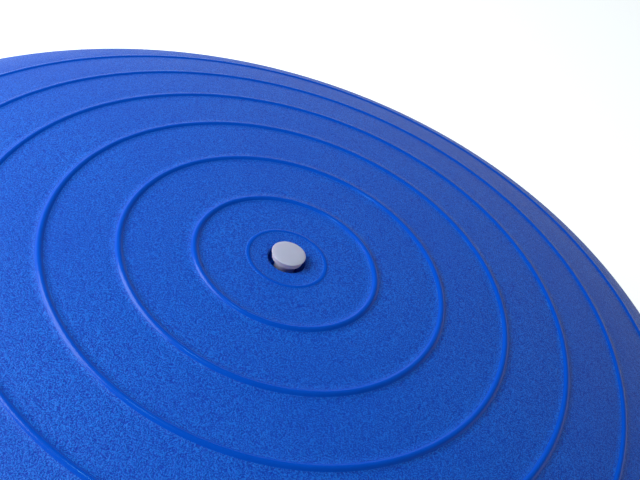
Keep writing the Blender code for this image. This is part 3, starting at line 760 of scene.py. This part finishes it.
def make_feet(black):
    """Rubber pads with a dimple and two tread grooves."""
    chain = [(0, 0.0009), (0.0035, 0.0009), (0.0042, 0)]
    for ring in (0.0085, 0.0130):
        chain += groove(ring, 0, 0.0010, 0.0006, 0.0009)
    chain += [(FOOT_RADIUS - 0.0012, 0), (FOOT_RADIUS, 0.0012), (FOOT_RADIUS, FOOT_TOP), (0, FOOT_TOP)]
    chain = rounded(chain, 0.0003, 2)
    for number, (x, y) in enumerate(circle(FOOT_CIRCLE, FOOT_COUNT, 0.5), 1):
        foot = revolve(f"rubber_foot_{number}", chain, [black], steps=64, closed=False)
        keep(shift(foot, x, y), "base", "feet", f"foot_{number}")


# ---------------------------------------------------------------- band anchors
def tube(name, path, radius, mat, around=20):
    """A round bar that follows a closed path."""
    work = bmesh.new()
    count = len(path)
    rings = []
    for i, point in enumerate(path):
        along = (path[(i + 1) % count] - path[i - 1]).normalized()
        side = Vector((1, 0, 0))
        other = along.cross(side).normalized()
        ring = []
        for k in range(around):
            a = math.tau * k / around
            ring.append(work.verts.new(point + (side * math.cos(a) + other * math.sin(a)) * radius))
        rings.append(ring)
    for i in range(count):
        here, after = rings[i], rings[(i + 1) % count]
        for k in range(around):
            m = (k + 1) % around
            work.faces.new((here[k], after[k], after[m], here[m]))
    bmesh.ops.recalc_face_normals(work, faces=work.faces)
    mesh = bpy.data.meshes.new(name)
    work.to_mesh(mesh)
    work.free()
    smooth(mesh, 60)
    return link(name, mesh, [mat])


def make_d_rings(wire):
    """A straight hinge bar with rounded corners, two short legs and a round bow, all of one bent wire."""
    width, corner = RING_HALF_WIDTH, RING_CORNER
    flat = [(y * (width - corner) / 6, 0) for y in range(-6, 7)]
    flat += arc((width - corner, -corner), corner, 90, 0, 8)[1:]
    flat += arc((0, -corner - RING_LEG), width, 0, -180, 40)
    flat += arc((corner - width, -corner), corner, 180, 90, 8)[:-1]
    for side, word in ((1, "right"), (-1, "left")):
        path = [Vector((side * HINGE_X, y, HINGE_Z + z)) for y, z in flat]
        ring = tube(f"band_ring_{word}", path, RING_WIRE, wire)
        keep(ring, f"{word}_ring", "d_rings", f"d_ring_{word}")


def finish_cad_nodes(zinc):
    """The screws and the clips keep their CAD shapes. The clips' edges are softened."""
    for name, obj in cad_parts.items():
        if "screw" not in name and "clip" not in name:
            continue
        for slot in obj.material_slots:
            slot.material = zinc
        if "clip" in name:
            soften(obj, 0.0003)


# ---------------------------------------------------------------- stage
def make_stage():
    """A pale floor, seen from above only, and a sweep of white that darkens overhead."""
    floor = bpy.data.meshes.new("floor")
    corners = [(x * FLOOR_HALF, y * FLOOR_HALF, 0) for x, y in ((-1, -1), (1, -1), (1, 1), (-1, 1))]
    floor.from_pydata(corners, [], [(0, 1, 2, 3)])
    look = Look("floor_white", 0.9)
    look.shader.inputs["Base Color"].default_value = (0.86, 0.86, 0.86, 1.0)
    look.shader.inputs["Emission Color"].default_value = (1.0, 1.0, 1.0, 1.0)
    look.shader.inputs["Emission Strength"].default_value = 0.55
    clear = look.nodes.new("ShaderNodeBsdfTransparent")
    side = look.nodes.new("ShaderNodeNewGeometry")
    either = look.nodes.new("ShaderNodeMixShader")
    look.links.new(side.outputs["Backfacing"], either.inputs["Fac"])
    look.links.new(look.shader.outputs[0], either.inputs[1])
    look.links.new(clear.outputs[0], either.inputs[2])
    look.links.new(either.outputs[0], look.nodes["Material Output"].inputs["Surface"])
    link("floor", floor, [look.mat])

    world = bpy.data.worlds.new("studio")
    bpy.context.scene.world = world
    world.use_nodes = True
    nodes, links = world.node_tree.nodes, world.node_tree.links
    coords = nodes.new("ShaderNodeTexCoord")
    parts = nodes.new("ShaderNodeSeparateXYZ")
    height = nodes.new("ShaderNodeMapRange")
    links.new(coords.outputs["Generated"], parts.inputs[0])
    links.new(parts.outputs["Z"], height.inputs["Value"])
    for name, number in (("From Min", 0.05), ("From Max", 0.60), ("To Min", 1.1), ("To Max", 0.08)):
        height.inputs[name].default_value = number
    height.interpolation_type = "SMOOTHSTEP"
    links.new(height.outputs["Result"], nodes["Background"].inputs["Strength"])
    nodes["Background"].inputs["Color"].default_value = (0.98, 0.98, 1.0, 1.0)


def area_light(name, place, size, power, colour):
    """A soft box that faces the object."""
    data = bpy.data.lights.new(name, "AREA")
    data.shape = "RECTANGLE"
    data.size, data.size_y = size
    data.energy = power
    data.color = colour
    light = bpy.data.objects.new(name, data)
    bpy.context.scene.collection.objects.link(light)
    light.location = place
    light.rotation_euler = (Vector(LIGHT_AIM) - Vector(place)).to_track_quat("-Z", "Y").to_euler()


def make_camera():
    """The close view down on the crown, rolled as the photograph is."""
    data = bpy.data.cameras.new("camera")
    data.lens = LENS
    data.clip_start = 0.01
    camera = bpy.data.objects.new("camera", data)
    bpy.context.scene.collection.objects.link(camera)
    back = Vector((0, -math.cos(CAMERA_ELEVATION), math.sin(CAMERA_ELEVATION)))
    camera.location = Vector((0, 0, CROWN)) + back * CAMERA_DISTANCE
    facing = (AIM - camera.location).to_track_quat("-Z", "Y").to_matrix()
    roll = Matrix.Rotation(CAMERA_ROLL, 3, "Z")
    camera.rotation_euler = (facing @ roll).to_euler()
    bpy.context.scene.camera = camera


make_camera()
make_stage()
area_light("key", place=(-1.15, -0.12, 0.95), size=(1.0, 0.8), power=27, colour=(0.86, 0.98, 1.0))
area_light("glint", place=(-0.44, -0.15, 1.52), size=(0.04, 0.04), power=3, colour=(0.25, 0.80, 1.0))

grain = sandy_pvc()
ribbed = smooth_pvc()
black_shell = moulded("black_moulding", (0.012, 0.012, 0.013), (0.020, 0.020, 0.021), 0.48)
grey_shell = moulded("grey_moulding", (0.060, 0.062, 0.068), (0.085, 0.088, 0.095), 0.46)

make_dome(grain, ribbed)
make_valve_flange(grain, ribbed)
make_plug(soft_white())
make_platform(black_shell)
make_anchor_pads(black_shell)
make_clamp(grey_shell)
make_grips(rubber("grip_elastomer", (0.016, 0.016, 0.017), 1400))
make_feet(rubber("foot_rubber", (0.012, 0.012, 0.012)))
make_d_rings(steel("chromed_wire", (0.78, 0.78, 0.80), 0.16, (1.0, 6.0, 6.0)))
finish_cad_nodes(steel("zinc_plate", (0.60, 0.61, 0.62), 0.32, (1.0, 1.0, 8.0)))

bpy.context.scene.view_settings.view_transform = "Standard"
